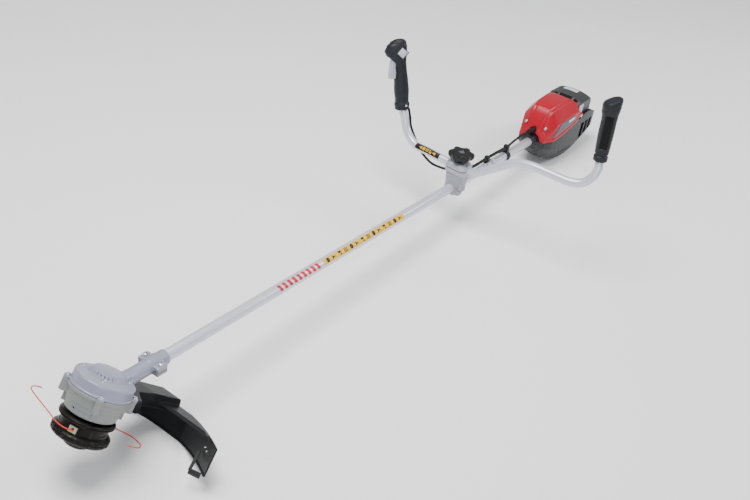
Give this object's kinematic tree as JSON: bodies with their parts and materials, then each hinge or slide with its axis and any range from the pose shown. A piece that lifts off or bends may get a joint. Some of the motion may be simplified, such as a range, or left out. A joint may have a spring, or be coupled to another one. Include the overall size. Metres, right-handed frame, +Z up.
{
  "type": "brush mower",
  "caption": "Battery brush cutter: long shaft with a motor and line head at one end, a guard, a bull-horn handlebar with throttle, and a rear battery unit.",
  "frame": {"origin": "bottom centre of the bounding box, on the ground the tool lies on", "axes": "+X along the shaft to the cutting head, +Y to the user's left, +Z up"},
  "size_m": [1.9776, 0.6418, 0.4677],
  "materials": {
    "black_plastic": "satin",
    "black_rubber": "matte",
    "bright_steel": "bright",
    "cast_aluminium": "cast",
    "charcoal_plastic": "satin",
    "copper": "drawn wire",
    "cream_ceramic": "glazed",
    "green_board": "lacquered",
    "grey_plastic": "satin",
    "light_plastic": "satin",
    "red_nylon": "satin",
    "red_plastic": "gloss",
    "silver_paint": "satin"
  },
  "bodies": {
    "main_frame": {"cable_band": "black_plastic", "cable_clip": "black_plastic", "clamp_base": "cast_aluminium", "clamp_bolt_left": "bright_steel", "clamp_bolt_right": "bright_steel", "clamp_shaft_cap": "cast_aluminium", "clamp_stud": "bright_steel", "controller_board": "green_board", "cover_screw_front_left": "bright_steel", "cover_screw_front_right": "bright_steel", "cover_screw_rear": "bright_steel", "debris_guard": "black_plastic", "guard_bolt_left": "bright_steel", "guard_bolt_right": "bright_steel", "harness_hanger": "cast_aluminium", "housing_screw_1": "bright_steel", "housing_screw_2": "bright_steel", "housing_screw_3": "bright_steel", "housing_screw_4": "bright_steel", "line_cutter_blade": "bright_steel", "lower_bearing": "bright_steel", "motor_cover": "silver_paint", "motor_housing": "cast_aluminium", "motor_lead": "black_rubber", "neck_bolt_left": "bright_steel", "neck_bolt_right": "bright_steel", "neck_clamp_cap": "cast_aluminium", "rear_foot": "black_rubber", "rear_housing": "charcoal_plastic", "red_cover": "red_plastic", "shaft_cable": "black_rubber", "shaft_tube": "silver_paint", "side_panel_left": "grey_plastic", "side_panel_right": "grey_plastic", "stator": "copper", "terminal_block": "grey_plastic", "upper_bearing": "bright_steel"},
    "cutting_head": {"rotor": "bright_steel", "motor_shaft": "bright_steel", "line_head_plate": "black_plastic", "line_head_body": "black_plastic", "eyelet_front": "cream_ceramic", "eyelet_rear": "cream_ceramic", "cutting_line_front": "red_nylon", "cutting_line_rear": "red_nylon", "bump_spring": "bright_steel"},
    "bump_feed": {"bump_knob": "black_rubber", "line_spool": "black_plastic", "spool_winding": "red_nylon"},
    "handlebar": {"clamp_saddle": "silver_paint", "clamp_top_cap": "silver_paint", "handlebar": "silver_paint", "left_grip": "black_rubber", "right_grip": "black_plastic", "grip_cable": "black_rubber"},
    "handle_knob": {"clamp_knob": "black_plastic"},
    "trigger": {"throttle_trigger": "light_plastic"},
    "lock_button": {"lock_off_button": "light_plastic"},
    "battery": {"battery": "black_plastic"},
    "latch": {"battery_latch": "black_plastic"}
  },
  "joints": [
    {"name": "line_head_spin", "type": "hinge", "parent": "main_frame", "child": "cutting_head", "pos_m": [0.90046, -0.03414, 0.15945], "axis": [-0.5668, 0, 0.8238], "continuous": true},
    {"name": "bump_press", "type": "slide", "parent": "cutting_head", "child": "bump_feed", "axis": [-0.5668, 0, 0.8238], "range_m": [0, 0.004], "stiffness_N_per_m": 2500, "springref_m": -0.004, "deforming": ["bump_spring"]},
    {"name": "handlebar_swivel", "type": "hinge", "parent": "main_frame", "child": "handlebar", "pos_m": [-0.27955, -0.03414, 0.1789], "axis": [-0.0441, 0, 0.999], "range_deg": [0, 90]},
    {"name": "handle_knob_turn", "type": "hinge", "parent": "main_frame", "child": "handle_knob", "pos_m": [-0.27955, -0.03414, 0.1789], "axis": [-0.0441, 0, 0.999], "range_deg": [0, 360]},
    {"name": "throttle_press", "type": "hinge", "parent": "handlebar", "child": "trigger", "pos_m": [-0.30764, -0.29269, 0.36421], "axis": [0.6066, 0.7378, 0.2962], "range_deg": [0, 14], "stiffness_Nm_per_rad": 0.5, "springref_deg": -17.19},
    {"name": "lock_off_press", "type": "slide", "parent": "handlebar", "child": "lock_button", "axis": [-0.6066, -0.7378, -0.2962], "range_m": [0, 0.003], "stiffness_N_per_m": 600, "springref_m": -0.002},
    {"name": "battery_slide", "type": "slide", "parent": "main_frame", "child": "battery", "axis": [-0.0441, 0, 0.999], "range_m": [0, 0.12]},
    {"name": "battery_latch_pull", "type": "hinge", "parent": "battery", "child": "latch", "pos_m": [-0.85768, -0.03414, 0.15787], "axis": [0, 1, 0], "range_deg": [0, 10], "stiffness_Nm_per_rad": 0.5, "springref_deg": -11.46}
  ]
}
